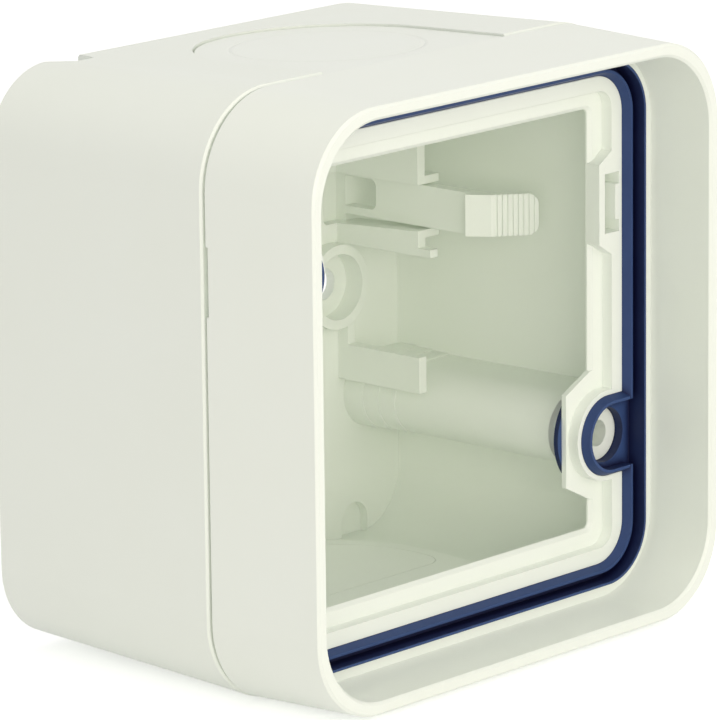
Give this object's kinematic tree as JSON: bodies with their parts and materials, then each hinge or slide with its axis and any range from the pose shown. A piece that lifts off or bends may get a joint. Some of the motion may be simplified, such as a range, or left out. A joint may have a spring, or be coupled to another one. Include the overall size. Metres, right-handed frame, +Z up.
{
  "type": "surface mount box",
  "caption": "Weatherproof wall box for a wiring device: tapered rear box, front frame with deep recess and conduit tongues, blue sealing gasket round the opening.",
  "frame": {"origin": "middle of the flat rear face that lies on the wall", "axes": "+Y into the wall, +Z up and +X to the right as seen from the front"},
  "size_m": [0.08, 0.0572, 0.079],
  "materials": {
    "box_moulding": "satin",
    "frame_moulding": "satin",
    "gasket_elastomer": "satin"
  },
  "bodies": {
    "root": {"rear_box": "box_moulding", "front_frame": "frame_moulding", "front_gasket": "gasket_elastomer"}
  },
  "joints": []
}
